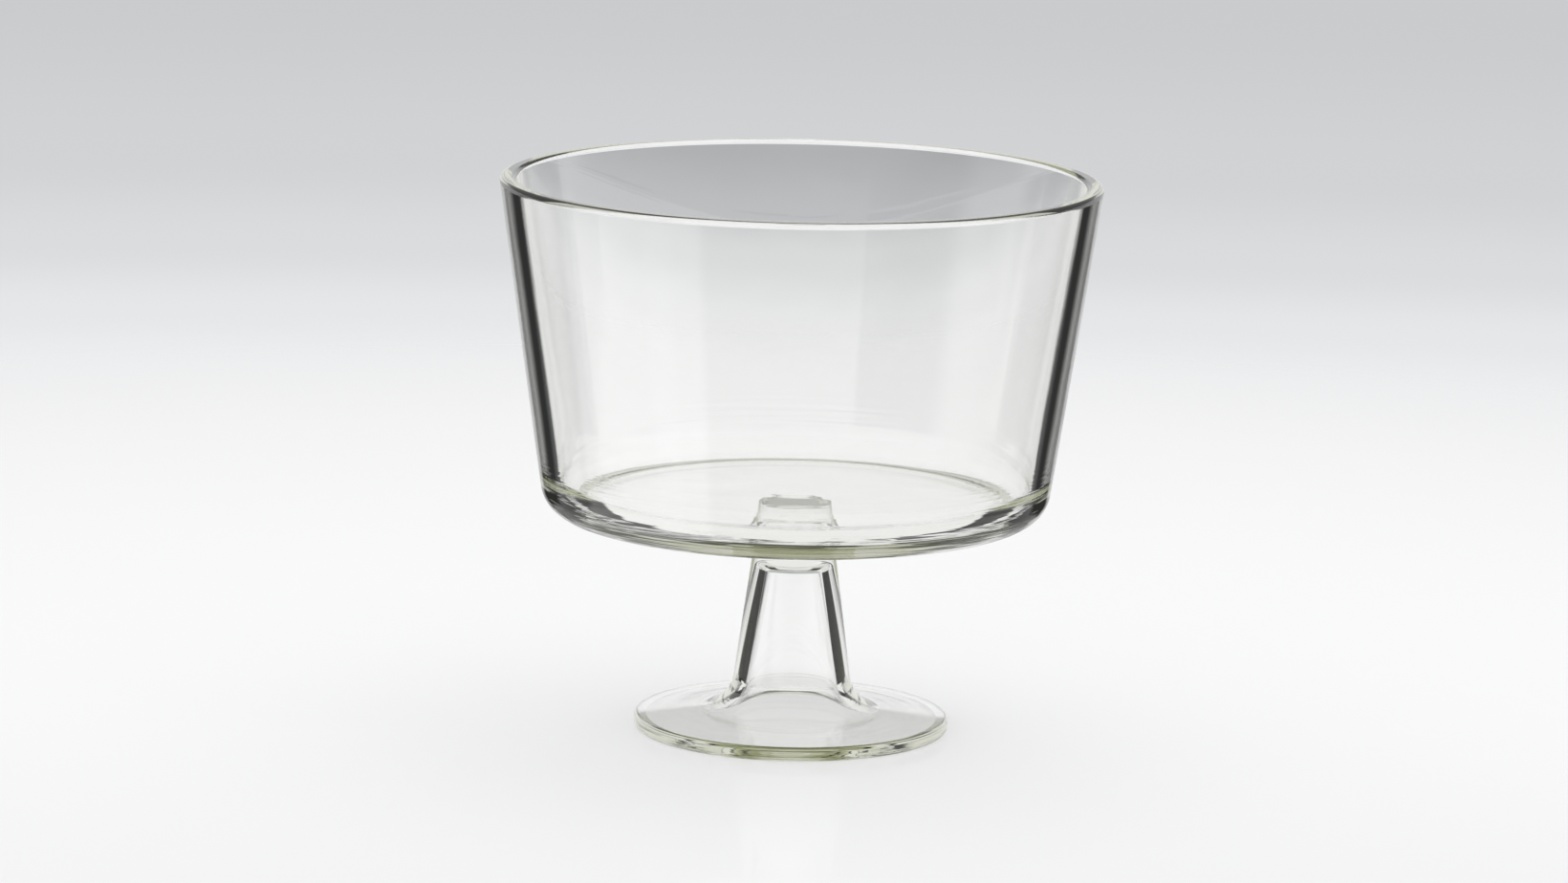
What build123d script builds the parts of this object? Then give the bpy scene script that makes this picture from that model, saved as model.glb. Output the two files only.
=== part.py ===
from build123d import *
import os

# Trifle bowl: a deep pressed glass bowl on a hollow glass pedestal.
# Millimetres, +Z up. The origin is the centre of the circle on which the foot rests,
# and Z is the axis that both pieces are turned round.

# Driving sizes of the whole
OVERALL_HEIGHT = 209.0
PEDESTAL_HEIGHT = 81.5

# Bowl: radii of the outline's corners, before its edges are rounded
RIM_RADIUS = 112.8
BASE_RADIUS = 94.1
RIM_WALL = 6.5
FLOOR_WALL = 7.5
FLOOR_THICKNESS = 6.5
RIM_ROUNDING = 2.0
HEEL_ROUNDING = 12.4
FLOOR_ROUNDING = 14.5

# Stem: a taper that is hollow from below, with a solid head that meets the bowl
STEM_TOP_RADIUS = 13.6
STEM_BOTTOM_RADIUS = 23.5
STEM_HEAD_THICKNESS = 18.5
HOLLOW_TOP_RADIUS = 9.4
HOLLOW_BOTTOM_RADIUS = 19.6
HOLLOW_TOP_ROUNDING = 3.0

# Foot: a thin disc whose top climbs to the stem and whose underside is slightly hollow
FOOT_RADIUS = 59.3
FOOT_EDGE_THICKNESS = 5.2
FOOT_RISE = 3.8
FOOT_EDGE_ROUNDING = 1.8
REST_RING_WIDTH = 5.0
UNDERSIDE_RISE = 3.7
FLARE_ROUNDING = 14.0
MOUTH_ROUNDING = 18.0
REST_RING_ROUNDING = 1.0


def turned(corners, roundings):
    """A solid turned round Z from an outline that starts and ends on the axis.

    corners are (radius, height) pairs, and roundings has one radius for each corner between the two ends.
    """
    outline = FilletPolyline(*corners, radius=roundings)
    profile = make_face(Curve() + [outline, Line(corners[-1], corners[0])])
    return revolve(Plane.XZ * profile, axis=Axis.Z)


def bowl():
    """The bowl: thick flat floor, rounded heel, straight flaring wall and a rounded rim."""
    floor_height = PEDESTAL_HEIGHT + FLOOR_THICKNESS
    wall_height = OVERALL_HEIGHT - PEDESTAL_HEIGHT
    wall_lean = (RIM_RADIUS - BASE_RADIUS) / wall_height
    outside_at_floor = BASE_RADIUS + wall_lean * FLOOR_THICKNESS
    corners = [
        (0, PEDESTAL_HEIGHT),
        (BASE_RADIUS, PEDESTAL_HEIGHT),
        (RIM_RADIUS, OVERALL_HEIGHT),
        (RIM_RADIUS - RIM_WALL, OVERALL_HEIGHT),
        (outside_at_floor - FLOOR_WALL, floor_height),
        (0, floor_height),
    ]
    return turned(corners, [HEEL_ROUNDING, RIM_ROUNDING, RIM_ROUNDING, FLOOR_ROUNDING])


def pedestal():
    """The stem and foot, pressed as one hollow piece that carries the bowl on its flat top."""
    hollow_height = PEDESTAL_HEIGHT - STEM_HEAD_THICKNESS
    corners = [
        (0, PEDESTAL_HEIGHT),
        (STEM_TOP_RADIUS, PEDESTAL_HEIGHT),
        (STEM_BOTTOM_RADIUS, FOOT_EDGE_THICKNESS + FOOT_RISE),
        (FOOT_RADIUS, FOOT_EDGE_THICKNESS),
        (FOOT_RADIUS, 0),
        (FOOT_RADIUS - REST_RING_WIDTH, 0),
        (HOLLOW_BOTTOM_RADIUS, UNDERSIDE_RISE),
        (HOLLOW_TOP_RADIUS, hollow_height),
        (0, hollow_height),
    ]
    roundings = [
        0,
        FLARE_ROUNDING,
        FOOT_EDGE_ROUNDING,
        FOOT_EDGE_ROUNDING,
        REST_RING_ROUNDING,
        MOUTH_ROUNDING,
        HOLLOW_TOP_ROUNDING,
    ]
    return turned(corners, roundings)


os.makedirs("parts", exist_ok=True)
export_step(bowl(), "parts/bowl.step")
export_step(pedestal(), "parts/pedestal.step")
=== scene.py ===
import math

import bpy
from mathutils import Matrix, Vector


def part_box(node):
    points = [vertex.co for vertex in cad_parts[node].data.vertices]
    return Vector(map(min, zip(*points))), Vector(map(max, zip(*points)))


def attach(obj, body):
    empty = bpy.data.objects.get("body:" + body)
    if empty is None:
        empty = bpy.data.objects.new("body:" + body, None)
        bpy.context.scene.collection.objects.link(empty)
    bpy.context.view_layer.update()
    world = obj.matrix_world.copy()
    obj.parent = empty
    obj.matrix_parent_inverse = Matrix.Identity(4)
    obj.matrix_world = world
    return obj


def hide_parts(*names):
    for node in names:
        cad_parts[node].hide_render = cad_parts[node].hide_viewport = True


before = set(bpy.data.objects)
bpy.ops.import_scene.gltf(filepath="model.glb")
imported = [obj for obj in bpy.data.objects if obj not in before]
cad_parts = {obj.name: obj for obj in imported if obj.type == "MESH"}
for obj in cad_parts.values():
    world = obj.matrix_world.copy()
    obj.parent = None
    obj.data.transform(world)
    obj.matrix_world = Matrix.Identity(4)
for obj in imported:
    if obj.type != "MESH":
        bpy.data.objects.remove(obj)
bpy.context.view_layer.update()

# Clear pressed glass trifle bowl on a hollow glass pedestal, on a pale studio floor.
# Metres, +Z up. Both pieces are turned round Z, and the foot rests on the floor at the origin.

OVERALL_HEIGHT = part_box("bowl")[1][2]
PEDESTAL_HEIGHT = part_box("pedestal")[1][2]
FOOT_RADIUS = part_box("pedestal")[1][0]

# Bowl: radii of the outline's corners, before its edges are rounded
RIM_RADIUS = 0.1128
BASE_RADIUS = 0.0941
RIM_WALL = 0.0065
FLOOR_WALL = 0.0075
FLOOR_THICKNESS = 0.0065
RIM_ROUNDING = 0.0020
HEEL_ROUNDING = 0.0124
FLOOR_ROUNDING = 0.0145

# Pedestal: tapered stem with a solid head, a hollow open from below, and a thin foot
STEM_TOP_RADIUS = 0.0136
STEM_BOTTOM_RADIUS = 0.0235
STEM_HEAD_THICKNESS = 0.0185
HOLLOW_TOP_RADIUS = 0.0094
HOLLOW_BOTTOM_RADIUS = 0.0196
HOLLOW_TOP_ROUNDING = 0.0030
FOOT_EDGE_THICKNESS = 0.0052
FOOT_RISE = 0.0038
FOOT_EDGE_ROUNDING = 0.0018
REST_RING_WIDTH = 0.0050
UNDERSIDE_RISE = 0.0037
FLARE_ROUNDING = 0.0140
MOUTH_ROUNDING = 0.0180
REST_RING_ROUNDING = 0.0010

# Fineness of the turned glass
SIDES = 360
ARC_STEP = math.radians(4)

# Glass
GLASS_IOR = 1.52
ABSORPTION = (1.1, 0.95, 1.7)  # per metre of glass, in red, green and blue
LAMP_SHARE = 0.995  # of a lamp's light that passes each surface
GLASS_SLOT, WELD_SLOT = 0, 1
WAVE_DETAIL = {"Detail": 1.5, "Roughness": 0.45}
RIPPLE_STRETCH = (14.0, 14.0, 700.0)  # chill ripples lie flat round the lowest part of each piece
RIPPLE_DETAIL = {"Detail": 2.0, "Roughness": 0.5}
RIPPLE_HEIGHT = 0.00012
# For each piece: how fine and how high its waves are, where their noise begins, and the heights between which its
# ripples fade away
BOWL_WAVES = (26.0, 0.00007, (0.31, 0.17, 0.05), (0.088, 0.112))
PEDESTAL_WAVES = (45.0, 0.00004, (0.11, 0.43, 0.29), (0.006, 0.012))
MIRRORINGS = 3  # after so many inside the glass, a ray goes straight out
WAY_OUT = (0.90, 0.90, 0.85)  # what each surface then leaves of its light

# Surroundings, which only the camera and the glass see. A room gives its colour at some heights above the horizon, in
# degrees. This is the backdrop as the camera sees it beside the glass.
BACKDROP = (
    (-10.5, (0.885, 0.890, 0.896)),
    (-10.0, (0.845, 0.852, 0.860)),
    (-9.4, (0.790, 0.798, 0.808)),
    (-8.8, (0.706, 0.714, 0.728)),
    (-8.0, (0.640, 0.648, 0.662)),
    (-6.5, (0.590, 0.598, 0.612)),
    (8.0, (0.570, 0.578, 0.592)),
)
# The same through the glass, where its upper part shows darker
BACKDROP_BEHIND = (
    (-10.5, (0.885, 0.890, 0.896)),
    (-10.0, (0.825, 0.832, 0.840)),
    (-9.4, (0.700, 0.708, 0.720)),
    (-8.8, (0.520, 0.528, 0.542)),
    (-8.0, (0.420, 0.428, 0.442)),
    (8.0, (0.400, 0.408, 0.422)),
)
# What outer surfaces mirror: greyer low sides, the lit room, and the unlit ceiling that greys the front of the foot
MIRRORED_ROOM = (
    (-26.0, (0.400, 0.402, 0.405)),
    (-16.5, (0.500, 0.502, 0.505)),
    (-10.3, (0.780, 0.782, 0.785)),
    (4.0, (0.950, 0.952, 0.960)),
    (12.2, (0.970, 0.972, 0.985)),
    (14.6, (0.300, 0.300, 0.300)),
    (40.0, (0.350, 0.350, 0.350)),
)
# Dark end of that room, behind the camera: degrees round from +Y, half its width, lowest and highest above the horizon
DARK_END = (180.0, 115.0, 3.0, 10.0)
DARK_END_SOFTNESS = (5.0, 1.0)  # degrees to either side of its ends and of its level edges
# Window light on the floor to the left of the object: degrees round it from +Y, half its width, how soft, how strong
WINDOW_LIGHT = (
    (-106.0, 34.0, 3.0, 0.70),
    (-121.0, 6.0, 2.5, 0.55),
)
WINDOW_LIGHT_TOP = -18.0
WINDOW_COLOUR = (1.90, 1.90, 1.92)
ALL_ROUND = -90.0  # an edge so far out that it cuts nothing off
# The room for rays that were mirrored inside the glass, and the dark cards in it that draw the edges of clear glass.
# Each row stands for a card to either side: the degrees round from +Y of the middle between the two, the nearest and
# farthest degrees from there, the lowest and highest above the horizon, and how dark they are.
ROOM_INSIDE = (0.880, 0.882, 0.870)
DARK_CARDS = (
    (0.0, 22.0, 39.5, -22.0, -1.0, 1.0),
    (0.0, 5.0, 20.0, -14.5, -9.0, 0.40),
    (0.0, 8.0, 18.0, -22.5, -14.5, 1.0),
    (0.0, 5.0, 62.0, -41.5, -28.5, 1.0),
    (0.0, 15.0, 62.0, -7.3, 0.5, 1.0),
    (-90.0, 22.0, 39.5, -10.0, -2.0, 1.0),
    (-90.0, 18.0, 62.0, 0.0, 7.2, 1.0),
    (135.0, 22.0, 39.5, -22.0, -13.0, 1.0),
    (135.0, 18.0, 62.0, -12.0, -4.8, 1.0),
    (-45.0, 22.0, 39.5, -32.0, -24.0, 0.45),
    (-45.0, 18.0, 45.0, -22.0, -15.0, 1.0),
)
CARD_SOFTNESS = (7.0, 0.8, 0.8)  # degrees to either side of a card's nearest, farthest and level edges
CARD_COLOUR = (0.030, 0.031, 0.030)
# Cards in the mirrored room
OUTSIDE_CARDS = (
    (0.0, 19.0, 43.0, -20.0, -10.0, 1.0),
    (-90.0, 19.0, 43.0, -10.0, -2.0, 1.0),
    (135.0, 19.0, 43.0, -22.0, -13.0, 1.0),
    (-45.0, 19.0, 43.0, -32.0, -24.0, 1.0),
    (0.0, 48.0, 100.0, -10.0, 1.0, 0.85),
)
OUTSIDE_SOFTNESS = (3.0, 3.0, 1.5)
# The room and its cards for rays that went straight out after MIRRORINGS
STRAIGHT_ROOM = (
    (-62.0, (0.300, 0.301, 0.292)),
    (-52.0, (0.080, 0.081, 0.068)),
    (-44.0, (0.080, 0.081, 0.068)),
    (-40.5, (0.620, 0.622, 0.580)),
    (30.0, (0.820, 0.822, 0.800)),
    (55.0, (0.700, 0.702, 0.680)),
)
STRAIGHT_CARDS = (
    (0.0, 24.0, 74.0, -46.0, -8.0, 1.0),
    (-90.0, 38.0, 74.0, -15.0, -2.0, 1.0),
    (135.0, 38.0, 74.0, -29.0, -12.0, 1.0),
    (0.0, ALL_ROUND, 190.0, 11.0, 14.0, 1.0),
    (0.0, ALL_ROUND, 190.0, 29.0, 32.0, 1.0),
    (0.0, ALL_ROUND, 190.0, 42.0, 46.0, 1.0),
)
STRAIGHT_SOFTNESS = (2.0, 2.0, 1.0)
AMBIENT = (0.50, 0.50, 0.504)  # what lights matt surfaces from all sides

# Floor. It fades into the surroundings between two distances from the axis: as seen, as mirrored by outer surfaces,
# and as mirrored inside the glass, where the surroundings stand in for all of it.
FLOOR_REACH = 1.5
FLOOR_FADE = (0.62, 0.98)
FLOOR_FADE_MIRRORED = (0.10, 0.28)
FLOOR_FADE_TRAPPED = (0.0, 0.001)
FLOOR_COLOUR = (0.945, 0.945, 0.947)
FLOOR_MIRROR = 0.08
FLOOR_MIRROR_ROUGHNESS = 0.06

# Soft lamps: place, the point each is aimed at, width and height, and power
LAMPS = {
    "overhead": ((0.2, 0.3, 1.7), (0, 0, 0.1), (1.4, 1.0), 12.6),
    "left_window": ((-1.6, -0.7, 0.9), (0, 0, 0.12), (0.9, 1.2), 10.4),
    "right_strip": ((1.5, -0.9, 0.8), (0, 0, 0.12), (0.3, 1.2), 6.0),
}

# Camera, aimed along +Y and down
LENS = 144.8
SENSOR_WIDTH = 36.0
CAMERA_DISTANCE = 2.3259
CAMERA_HEIGHT = 0.54174
CAMERA_PITCH = 0.18379
CAMERA_YAW = -0.002022
CAMERA_ROLL = 0.0206
CAMERA_CLIP = (0.05, 50.0)


# ---- Node helpers ----

def new_node(tree, kind, **values):
    """A new node of this kind, with its settings, or its input sockets by their names with spaces as underscores."""
    node = tree.nodes.new(kind)
    for name, value in values.items():
        socket = name.replace("_", " ")
        if hasattr(node, name):
            setattr(node, name, value)
        else:
            node.inputs[socket].default_value = value
    return node


def calculate(tree, operation, *terms):
    """The output of a Math node, whose terms are numbers or other nodes' outputs."""
    node = new_node(tree, "ShaderNodeMath", operation=operation)
    for socket, term in zip(node.inputs, terms):
        if isinstance(term, bpy.types.NodeSocket):
            tree.links.new(term, socket)
        else:
            socket.default_value = term
    return node.outputs["Value"]


def mix_colours(tree, share, first, second):
    """The output of a colour mix: first where share is 0, second where it is 1."""
    node = new_node(tree, "ShaderNodeMix", data_type="RGBA")
    colours = [socket for socket in node.inputs if socket.type == "RGBA"]
    tree.links.new(share, node.inputs[0])
    for socket, colour in zip(colours, (first, second)):
        if isinstance(colour, bpy.types.NodeSocket):
            tree.links.new(colour, socket)
        else:
            socket.default_value = (*colour, 1.0)
    return next(socket for socket in node.outputs if socket.type == "RGBA")


def has_met(tree, depth, times=1):
    """1 for a ray whose light path has at least this depth, such as Glossy Depth for times mirrored, else 0."""
    path = new_node(tree, "ShaderNodeLightPath")
    return calculate(tree, "GREATER_THAN", path.outputs[depth], times - 0.5)


def empty_material(name):
    """A material without nodes, and its output node."""
    material = bpy.data.materials.new(name)
    material.use_nodes = True
    material.node_tree.nodes.clear()
    return material, material.node_tree.nodes.new("ShaderNodeOutputMaterial")


# ---- Turned glass ----

def turn_outline(corners, roundings):
    """Spans of an outline with rounded corners, each as (start, end, start's normal, end's normal, corner index).

    Points and normals are (radius, height) vectors. The outline runs anticlockwise round the glass, seen with the
    radius to the right, so the normals point out of the glass.
    """
    points = [Vector(corner) for corner in corners]
    spans = []
    at = points[0]
    for index in range(1, len(points)):
        corner = points[index]
        along = (corner - points[index - 1]).normalized()
        normal = Vector((along.y, -along.x))
        rounding = roundings[index - 1] if index <= len(roundings) else 0
        if rounding:
            onward = (points[index + 1] - corner).normalized()
            turn = math.atan2(along.cross(onward), along.dot(onward))
            length = rounding * math.tan(abs(turn) / 2)
            start = corner - along * length
            spans.append((at, start, normal, normal, index))
            centre = start - normal * math.copysign(rounding, turn)
            steps = max(4, math.ceil(abs(turn) / ARC_STEP))
            before = start, normal
            for step in range(1, steps + 1):
                facing = Matrix.Rotation(turn * step / steps, 2) @ normal
                after = centre + facing * math.copysign(rounding, turn), facing
                spans.append((before[0], after[0], before[1], after[1], index))
                before = after
            at = before[0]
        else:
            spans.append((at, corner, normal, normal, index))
            at = corner
    return spans


def turned_glass(name, corners, roundings, weld_span, materials):
    """A piece turned round Z from its outline, with the true normals of its arcs and tapers.

    The faces of the span that ends at corner weld_span are the weld, and take the second material.
    """
    spans = turn_outline(corners, roundings)
    angles = [2 * math.pi * side / SIDES for side in range(SIDES)]
    verts, rings = [], {}

    def ring(point):
        key = (round(point.x, 8), round(point.y, 8))
        if key not in rings:
            on_axis = point.x < 1e-9
            rings[key] = [len(verts) + (0 if on_axis else side) for side in range(SIDES)]
            around = angles[:1] if on_axis else angles
            verts.extend((point.x * math.cos(a), point.x * math.sin(a), point.y) for a in around)
        return rings[key]

    faces, slots, normals = [], [], []
    for start, end, start_normal, end_normal, index in spans:
        low, high = ring(start), ring(end)
        for side in range(SIDES):
            after = (side + 1) % SIDES
            corners_of_face = [(low[side], start_normal, side), (low[after], start_normal, after),
                               (high[after], end_normal, after), (high[side], end_normal, side)]
            if low[side] == low[after]:
                corners_of_face.pop(1)
            elif high[side] == high[after]:
                corners_of_face.pop(3)
            faces.append([vert for vert, _, _ in corners_of_face])
            slots.append(WELD_SLOT if index == weld_span else GLASS_SLOT)
            for _, facing, at in corners_of_face:
                normals.append((facing.x * math.cos(angles[at]), facing.x * math.sin(angles[at]), facing.y))

    mesh = bpy.data.meshes.new(name)
    mesh.from_pydata(verts, [], faces)
    mesh.polygons.foreach_set("use_smooth", [True] * len(faces))
    mesh.polygons.foreach_set("material_index", slots)
    for material in materials:
        mesh.materials.append(material)
    mesh.update()
    mesh.normals_split_custom_set(normals)
    piece = bpy.data.objects.new(name, mesh)
    bpy.context.scene.collection.objects.link(piece)
    return piece


# ---- Materials ----

def clear_glass(name, wave_scale, wave_height, offset, ripple_levels):
    """Clear pressed glass: faint green in its depth, slightly wavy from the mould, and rippled over ripple_levels.

    A ray that meets the surface from inside is dimmed by the length of glass that it has come through. One that was
    mirrored MIRRORINGS times inside goes straight out.
    """
    material, output = empty_material(name)
    tree = material.node_tree
    path = new_node(tree, "ShaderNodeLightPath")
    surface = new_node(tree, "ShaderNodeNewGeometry")
    depth = calculate(tree, "MULTIPLY", path.outputs["Ray Length"], surface.outputs["Backfacing"])
    tint = new_node(tree, "ShaderNodeCombineColor")
    for socket, per_metre in zip(tint.inputs, ABSORPTION):
        tree.links.new(calculate(tree, "EXPONENT", calculate(tree, "MULTIPLY", depth, -per_metre)), socket)

    place = new_node(tree, "ShaderNodeTexCoord")
    shifted = new_node(tree, "ShaderNodeMapping", vector_type="POINT", Location=offset)
    tree.links.new(place.outputs["Object"], shifted.inputs["Vector"])
    waves = new_node(tree, "ShaderNodeTexNoise", Scale=wave_scale, **WAVE_DETAIL)
    tree.links.new(shifted.outputs["Vector"], waves.inputs["Vector"])
    bump = new_node(tree, "ShaderNodeBump", Strength=1.0, Distance=wave_height)
    tree.links.new(waves.outputs["Fac"], bump.inputs["Height"])

    flat = new_node(tree, "ShaderNodeMapping", vector_type="POINT", Scale=RIPPLE_STRETCH)
    tree.links.new(place.outputs["Object"], flat.inputs["Vector"])
    ripples = new_node(tree, "ShaderNodeTexNoise", Scale=1.0, **RIPPLE_DETAIL)
    tree.links.new(flat.outputs["Vector"], ripples.inputs["Vector"])
    level = new_node(tree, "ShaderNodeSeparateXYZ")
    tree.links.new(place.outputs["Object"], level.inputs["Vector"])
    near_edge = new_node(tree, "ShaderNodeMapRange", interpolation_type="SMOOTHSTEP")
    for socket, value in zip(near_edge.inputs[1:5], (*ripple_levels, 1.0, 0.0)):
        socket.default_value = value
    tree.links.new(level.outputs["Z"], near_edge.inputs["Value"])
    ripple = calculate(tree, "MULTIPLY", ripples.outputs["Fac"], near_edge.outputs["Result"])
    rippled = new_node(tree, "ShaderNodeBump", Strength=1.0, Distance=RIPPLE_HEIGHT)
    tree.links.new(ripple, rippled.inputs["Height"])
    tree.links.new(bump.outputs["Normal"], rippled.inputs["Normal"])

    glass = new_node(tree, "ShaderNodeBsdfGlass", Roughness=0.0, IOR=GLASS_IOR)
    tree.links.new(tint.outputs["Color"], glass.inputs["Color"])
    tree.links.new(rippled.outputs["Normal"], glass.inputs["Normal"])
    lamp_way = new_node(tree, "ShaderNodeBsdfTransparent", Color=(LAMP_SHARE, LAMP_SHARE, LAMP_SHARE, 1.0))
    trapped = has_met(tree, "Glossy Depth", MIRRORINGS)
    way_out = new_node(tree, "ShaderNodeBsdfTransparent")
    dimmed = new_node(tree, "ShaderNodeVectorMath", operation="MULTIPLY")
    tree.links.new(tint.outputs["Color"], dimmed.inputs[0])
    dimmed.inputs[1].default_value = WAY_OUT
    tree.links.new(dimmed.outputs["Vector"], way_out.inputs["Color"])
    seen = new_node(tree, "ShaderNodeMixShader")
    tree.links.new(trapped, seen.inputs["Fac"])
    tree.links.new(glass.outputs["BSDF"], seen.inputs[1])
    tree.links.new(way_out.outputs["BSDF"], seen.inputs[2])
    shown = new_node(tree, "ShaderNodeMixShader")
    tree.links.new(path.outputs["Is Shadow Ray"], shown.inputs["Fac"])
    tree.links.new(seen.outputs["Shader"], shown.inputs[1])
    tree.links.new(lamp_way.outputs["BSDF"], shown.inputs[2])
    tree.links.new(shown.outputs["Shader"], output.inputs["Surface"])
    return material


def weld_glass():
    """The joint, where the hot stem head and the bowl's underside ran together, so that light goes straight on."""
    material, output = empty_material("weld")
    tree = material.node_tree
    clear = new_node(tree, "ShaderNodeBsdfTransparent")
    tree.links.new(clear.outputs["BSDF"], output.inputs["Surface"])
    return material


def studio_floor():
    """A smooth pale table top with a faint mirror in it, which fades out into the backdrop far from the object."""
    material, output = empty_material("floor")
    tree = material.node_tree
    matt = new_node(tree, "ShaderNodeBsdfDiffuse", Color=(*FLOOR_COLOUR, 1.0))
    mirror = new_node(tree, "ShaderNodeBsdfGlossy", Color=(1.0, 1.0, 1.0, 1.0), Roughness=FLOOR_MIRROR_ROUGHNESS)
    top = new_node(tree, "ShaderNodeMixShader", Fac=FLOOR_MIRROR)
    tree.links.new(matt.outputs["BSDF"], top.inputs[1])
    tree.links.new(mirror.outputs["BSDF"], top.inputs[2])

    place = new_node(tree, "ShaderNodeNewGeometry")
    from_axis = new_node(tree, "ShaderNodeVectorMath", operation="LENGTH")
    tree.links.new(place.outputs["Position"], from_axis.inputs["Vector"])
    mirrored = has_met(tree, "Glossy Depth")
    trapped = calculate(tree, "MULTIPLY", mirrored, has_met(tree, "Transmission Depth"))
    fade = new_node(tree, "ShaderNodeMapRange", interpolation_type="SMOOTHSTEP")
    for socket, radius, if_mirrored, if_trapped in zip(fade.inputs[1:3], FLOOR_FADE, FLOOR_FADE_MIRRORED,
                                                       FLOOR_FADE_TRAPPED):
        nearer = calculate(tree, "MULTIPLY_ADD", mirrored, if_mirrored - radius, radius)
        tree.links.new(calculate(tree, "MULTIPLY_ADD", trapped, if_trapped - if_mirrored, nearer), socket)
    tree.links.new(from_axis.outputs["Value"], fade.inputs["Value"])
    beyond = new_node(tree, "ShaderNodeBsdfTransparent")
    faded = new_node(tree, "ShaderNodeMixShader")
    tree.links.new(fade.outputs["Result"], faded.inputs["Fac"])
    tree.links.new(top.outputs["Shader"], faded.inputs[1])
    tree.links.new(beyond.outputs["BSDF"], faded.inputs[2])
    tree.links.new(faded.outputs["Shader"], output.inputs["Surface"])
    return material


# ---- Pieces ----

def bowl_piece(weld):
    """The bowl: flat floor, rounded heel, flaring wall and rounded rim."""
    floor_height = PEDESTAL_HEIGHT + FLOOR_THICKNESS
    wall_lean = (RIM_RADIUS - BASE_RADIUS) / (OVERALL_HEIGHT - PEDESTAL_HEIGHT)
    outside_at_floor = BASE_RADIUS + wall_lean * FLOOR_THICKNESS
    corners = [
        (0, PEDESTAL_HEIGHT),
        (STEM_TOP_RADIUS, PEDESTAL_HEIGHT),
        (BASE_RADIUS, PEDESTAL_HEIGHT),
        (RIM_RADIUS, OVERALL_HEIGHT),
        (RIM_RADIUS - RIM_WALL, OVERALL_HEIGHT),
        (outside_at_floor - FLOOR_WALL, floor_height),
        (0, floor_height),
    ]
    roundings = [0, HEEL_ROUNDING, RIM_ROUNDING, RIM_ROUNDING, FLOOR_ROUNDING]
    glass = clear_glass("bowl_glass", *BOWL_WAVES)
    piece = turned_glass("bowl_glass", corners, roundings, 1, [glass, weld])
    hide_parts("bowl")
    return piece


def pedestal_piece(weld):
    """The stem and foot, with the hollow that opens at the rest ring."""
    hollow_height = PEDESTAL_HEIGHT - STEM_HEAD_THICKNESS
    corners = [
        (0, hollow_height),
        (HOLLOW_TOP_RADIUS, hollow_height),
        (HOLLOW_BOTTOM_RADIUS, UNDERSIDE_RISE),
        (FOOT_RADIUS - REST_RING_WIDTH, 0),
        (FOOT_RADIUS, 0),
        (FOOT_RADIUS, FOOT_EDGE_THICKNESS),
        (STEM_BOTTOM_RADIUS, FOOT_EDGE_THICKNESS + FOOT_RISE),
        (STEM_TOP_RADIUS, PEDESTAL_HEIGHT),
        (0, PEDESTAL_HEIGHT),
    ]
    roundings = [HOLLOW_TOP_ROUNDING, MOUTH_ROUNDING, REST_RING_ROUNDING, FOOT_EDGE_ROUNDING, FOOT_EDGE_ROUNDING,
                 FLARE_ROUNDING]
    glass = clear_glass("pedestal_glass", *PEDESTAL_WAVES)
    piece = turned_glass("pedestal_glass", corners, roundings, len(corners) - 1, [glass, weld])
    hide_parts("pedestal")
    return piece


def floor_piece():
    """The floor, a square sheet whose far part fades into the backdrop."""
    mesh = bpy.data.meshes.new("floor")
    reach = FLOOR_REACH
    corners = [(-reach, -reach, 0), (reach, -reach, 0), (reach, reach, 0), (-reach, reach, 0)]
    mesh.from_pydata(corners, [], [(0, 1, 2, 3)])
    mesh.materials.append(studio_floor())
    floor = bpy.data.objects.new("floor", mesh)
    bpy.context.scene.collection.objects.link(floor)


# ---- Surroundings ----

def by_height(tree, height, stops):
    """The colour at a height above the horizon, from stops that give it at some heights in degrees."""
    lowest, highest = math.radians(stops[0][0]), math.radians(stops[-1][0])
    share = new_node(tree, "ShaderNodeMapRange")
    share.inputs["From Min"].default_value, share.inputs["From Max"].default_value = lowest, highest
    tree.links.new(height, share.inputs["Value"])
    ramp = new_node(tree, "ShaderNodeValToRGB")
    ramp.color_ramp.interpolation = "EASE"
    marks = ramp.color_ramp.elements
    while len(marks) < len(stops):
        marks.new(0.5)
    for mark, (degrees, colour) in zip(marks, stops):
        mark.position = (math.radians(degrees) - lowest) / (highest - lowest)
        mark.color = (*colour, 1.0)
    tree.links.new(share.outputs["Result"], ramp.inputs["Fac"])
    return ramp.outputs["Color"]


def angle_from(tree, around, middle):
    """How far an angle in radians is from one given in degrees, either way round."""
    away = calculate(tree, "SUBTRACT", around, math.radians(middle))
    return calculate(tree, "ARCCOSINE", calculate(tree, "COSINE", away))


def between(tree, angle, lowest, highest, low_softness, high_softness):
    """1 where an angle in radians lies between two, given in degrees, falling to 0 over their softness either side."""
    share = None
    for edge, outer in ((lowest, -low_softness), (highest, high_softness)):
        rise = new_node(tree, "ShaderNodeMapRange", interpolation_type="SMOOTHSTEP")
        rise.inputs["From Min"].default_value = math.radians(edge + outer)
        rise.inputs["From Max"].default_value = math.radians(edge - outer)
        tree.links.new(angle, rise.inputs["Value"])
        share = rise.outputs["Result"] if share is None else calculate(tree, "MULTIPLY", share, rise.outputs["Result"])
    return share


def cards(tree, around, height, places, softness):
    """How much of this direction the dark cards cover."""
    covered = 0.0
    near_softness, far_softness, level_softness = softness
    for middle, nearest, farthest, lowest, highest, strength in places:
        aside = angle_from(tree, around, middle)
        card = calculate(tree, "MULTIPLY", between(tree, aside, nearest, farthest, near_softness, far_softness),
                         between(tree, height, lowest, highest, level_softness, level_softness))
        covered = calculate(tree, "MAXIMUM", covered, calculate(tree, "MULTIPLY", card, strength))
    return covered


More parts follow.
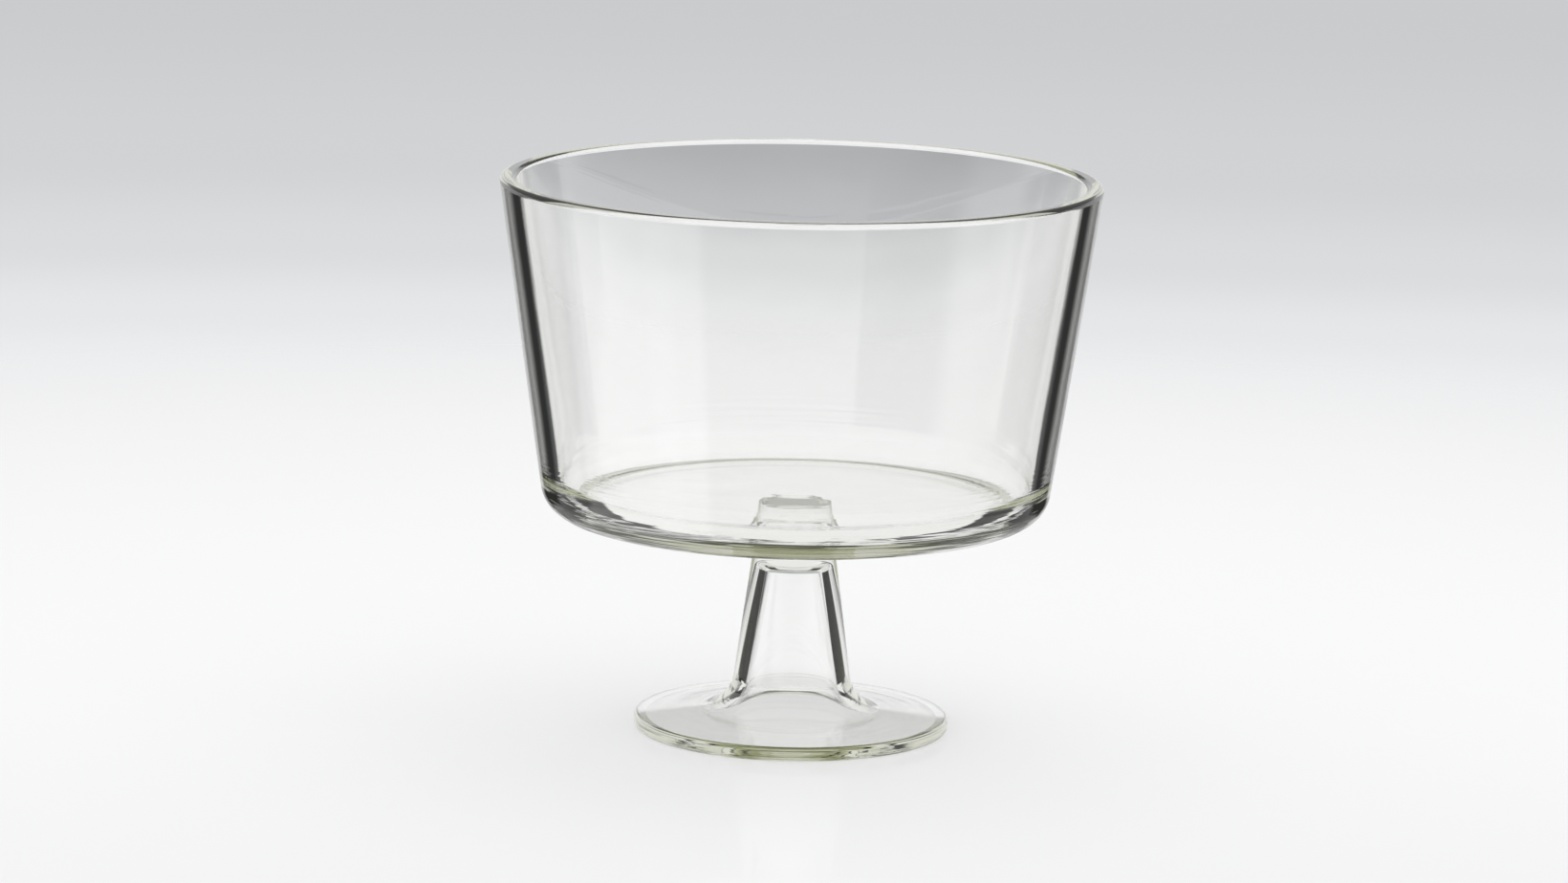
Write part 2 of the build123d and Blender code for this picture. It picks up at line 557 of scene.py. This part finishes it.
def studio_world():
    """The surroundings as a ray meets them: beside or through the glass, or after it was mirrored outside or inside."""
    world = bpy.data.worlds.new("studio")
    world.use_nodes = True
    tree = world.node_tree
    tree.nodes.clear()
    direction = new_node(tree, "ShaderNodeTexCoord")
    parts = new_node(tree, "ShaderNodeSeparateXYZ")
    tree.links.new(direction.outputs["Generated"], parts.inputs["Vector"])
    height = calculate(tree, "ARCSINE", parts.outputs["Z"])
    around = calculate(tree, "ARCTAN2", parts.outputs["X"], parts.outputs["Y"])

    inside = mix_colours(tree, cards(tree, around, height, DARK_CARDS, CARD_SOFTNESS), ROOM_INSIDE, CARD_COLOUR)
    straight = mix_colours(tree, cards(tree, around, height, STRAIGHT_CARDS, STRAIGHT_SOFTNESS),
                           by_height(tree, height, STRAIGHT_ROOM), CARD_COLOUR)
    inside = mix_colours(tree, has_met(tree, "Glossy Depth", MIRRORINGS), inside, straight)

    outside = mix_colours(tree, cards(tree, around, height, OUTSIDE_CARDS, OUTSIDE_SOFTNESS),
                          by_height(tree, height, MIRRORED_ROOM), CARD_COLOUR)
    middle, half_width, lowest, highest = DARK_END
    end_softness, level_softness = DARK_END_SOFTNESS
    aside = angle_from(tree, around, middle)
    ended = calculate(tree, "MULTIPLY", between(tree, aside, ALL_ROUND, half_width, end_softness, end_softness),
                      between(tree, height, lowest, highest, level_softness, level_softness))
    outside = mix_colours(tree, ended, outside, CARD_COLOUR)
    for middle, half_width, softness, strength in WINDOW_LIGHT:
        aside = angle_from(tree, around, middle)
        lit = calculate(tree, "MULTIPLY", between(tree, aside, ALL_ROUND, half_width, softness, softness),
                        between(tree, height, ALL_ROUND, WINDOW_LIGHT_TOP, softness, softness))
        outside = mix_colours(tree, calculate(tree, "MULTIPLY", lit, strength), outside, WINDOW_COLOUR)

    mirrored = mix_colours(tree, has_met(tree, "Transmission Depth"), outside, inside)
    behind = mix_colours(tree, has_met(tree, "Transmission Depth"), by_height(tree, height, BACKDROP),
                         by_height(tree, height, BACKDROP_BEHIND))
    seen = mix_colours(tree, has_met(tree, "Glossy Depth"), behind, mirrored)
    colour = mix_colours(tree, has_met(tree, "Diffuse Depth"), seen, AMBIENT)
    backdrop = new_node(tree, "ShaderNodeBackground")
    tree.links.new(colour, backdrop.inputs["Color"])
    output = new_node(tree, "ShaderNodeOutputWorld")
    tree.links.new(backdrop.outputs["Background"], output.inputs["Surface"])
    bpy.context.scene.world = world


def soft_light(name, place, aim, size, power):
    """A rectangular soft lamp, aimed at a point. Camera, glass and mirrors don't see the lamp itself."""
    data = bpy.data.lights.new(name, "AREA")
    data.shape = "RECTANGLE"
    data.size, data.size_y = size
    data.energy = power
    lamp = bpy.data.objects.new(name, data)
    lamp.location = place
    lamp.rotation_euler = (Vector(aim) - Vector(place)).to_track_quat("-Z", "Y").to_euler()
    lamp.visible_camera = False
    lamp.visible_transmission = False
    lamp.visible_glossy = False
    bpy.context.scene.collection.objects.link(lamp)


def photo_camera():
    """The camera at the photograph's place and lens."""
    data = bpy.data.cameras.new("camera")
    data.sensor_width = SENSOR_WIDTH
    data.lens = LENS
    data.clip_start, data.clip_end = CAMERA_CLIP
    camera = bpy.data.objects.new("camera", data)
    aim = Vector((math.sin(CAMERA_YAW) * math.cos(CAMERA_PITCH), math.cos(CAMERA_YAW) * math.cos(CAMERA_PITCH),
                  -math.sin(CAMERA_PITCH)))
    level = Vector((math.cos(CAMERA_YAW), -math.sin(CAMERA_YAW), 0))
    upright = level.cross(aim)
    right = level * math.cos(CAMERA_ROLL) + upright * math.sin(CAMERA_ROLL)
    up = upright * math.cos(CAMERA_ROLL) - level * math.sin(CAMERA_ROLL)
    turned = Matrix((right, up, -aim)).transposed().to_4x4()
    camera.matrix_world = Matrix.Translation((0, -CAMERA_DISTANCE, CAMERA_HEIGHT)) @ turned
    bpy.context.scene.collection.objects.link(camera)
    bpy.context.scene.camera = camera


weld = weld_glass()
for piece in (bowl_piece(weld), pedestal_piece(weld)):
    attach(piece, "root")
floor_piece()
studio_world()
for name, settings in LAMPS.items():
    soft_light(name, *settings)
photo_camera()
bpy.context.scene.view_settings.view_transform = "Standard"
